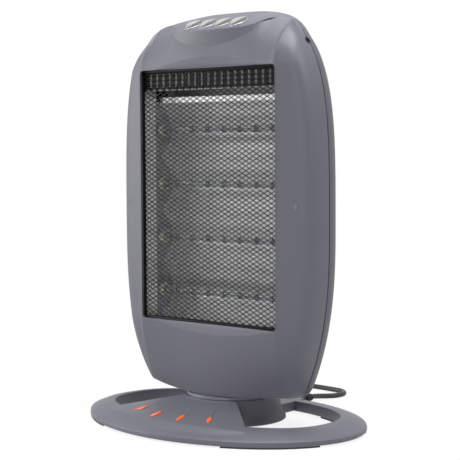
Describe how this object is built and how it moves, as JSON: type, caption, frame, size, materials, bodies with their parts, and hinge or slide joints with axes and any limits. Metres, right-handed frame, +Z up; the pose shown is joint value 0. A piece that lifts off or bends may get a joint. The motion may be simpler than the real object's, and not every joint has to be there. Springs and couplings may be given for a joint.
{
  "type": "halogen heater",
  "caption": "Free-standing halogen heater: arched grey head with quartz lamps behind a diamond guard mesh, swinging on a round hub over an oval ring base.",
  "frame": {"origin": "on the floor under the middle of the oval base; the swing axis stands 15 mm behind it", "axes": "+Z up, -Y out of the grille, +X to the right of a person standing behind the heater"},
  "size_m": [0.372, 0.3435, 0.4315],
  "materials": {
    "grey_shell": "satin blue-grey moulding",
    "dark_shell": "satin darker grey moulding",
    "black_steel": "satin black enamel",
    "bright_aluminium": "bright rolled sheet",
    "quartz": "clear",
    "filament_wire": "bare wire",
    "ceramic": "unglazed",
    "bezel_silver": "satin silver",
    "button_grey": "satin warm grey",
    "black_plastic": "satin",
    "cream_plastic": "satin",
    "zinc_steel": "zinc plated",
    "orange_inlay": "gloss orange",
    "black_rubber": "matt",
    "cord_black": "matt black sheath",
    "plug_brass": "bright"
  },
  "bodies": {
    "base": {"base_moulding": "grey_shell", "flame_inlays": "orange_inlay", "foot_pads": "black_rubber", "under_cover": "dark_shell", "base_screws": "zinc_steel", "swing_motor": "zinc_steel", "pivot_bush": "cream_plastic", "inner_lead": "cord_black", "cord_gland": "cord_black", "mains_cord": "cord_black", "cord_coil": "cord_black", "cord_tie": "black_plastic", "plug_body": "black_plastic", "plug_pins": "plug_brass"},
    "head": {"front_shell": "grey_shell", "rear_shell": "dark_shell", "guard_mesh": "black_steel", "mesh_frame": "black_steel", "heat_box": "black_steel", "reflector": "bright_aluminium", "rear_heat_shield": "bright_aluminium", "quartz_tubes": "quartz", "lamp_filaments": "filament_wire", "ceramic_ends": "ceramic", "tube_brackets": "black_steel", "button_bezels": "bezel_silver", "switch_bank": "black_plastic", "terminal_block": "cream_plastic", "thermal_cutout": "zinc_steel", "tilt_bracket": "dark_shell", "side_screws": "zinc_steel", "shell_screws": "zinc_steel", "head_lead": "cord_black", "neck_collar": "grey_shell", "pivot_tube": "dark_shell", "swing_arm": "zinc_steel", "pivot_washer": "zinc_steel", "pivot_clip": "zinc_steel"},
    "crank": {"drive_crank": "black_plastic"},
    "tilt": {"tilt_weight": "zinc_steel"},
    "push_1": {"button_1": "button_grey"},
    "push_2": {"button_2": "button_grey"},
    "push_3": {"button_3": "button_grey"},
    "push_4": {"button_4": "button_grey"}
  },
  "joints": [
    {"name": "head_turn", "type": "hinge", "parent": "base", "child": "head", "pos_m": [0, 0.015, 0.028], "axis": [0, 0, 1], "range_deg": [-30, 30]},
    {"name": "crank_turn", "type": "hinge", "parent": "base", "child": "crank", "pos_m": [0, -0.021, 0.017], "axis": [0, 0, 1], "range_deg": [-90, 90]},
    {"name": "push_1_slide", "type": "slide", "parent": "head", "child": "push_1", "axis": [0, 0.36, -0.933], "range_m": [0, 0.0025], "stiffness_N_per_m": 400, "springref_m": -0.002},
    {"name": "push_2_slide", "type": "slide", "parent": "head", "child": "push_2", "axis": [0, 0.36, -0.933], "range_m": [0, 0.0025], "stiffness_N_per_m": 400, "springref_m": -0.002},
    {"name": "push_3_slide", "type": "slide", "parent": "head", "child": "push_3", "axis": [0, 0.36, -0.933], "range_m": [0, 0.0025], "stiffness_N_per_m": 400, "springref_m": -0.002},
    {"name": "push_4_slide", "type": "slide", "parent": "head", "child": "push_4", "axis": [0, 0.36, -0.933], "range_m": [0, 0.0025], "stiffness_N_per_m": 400, "springref_m": -0.002},
    {"name": "tilt_swing", "type": "hinge", "parent": "head", "child": "tilt", "pos_m": [-0.05, 0.024, 0.084], "axis": [0, 1, 0], "range_deg": [-25, 25]}
  ],
  "couplings": [
    {"joint": "crank_turn", "follows": "head_turn", "ratio": 2.9}
  ]
}
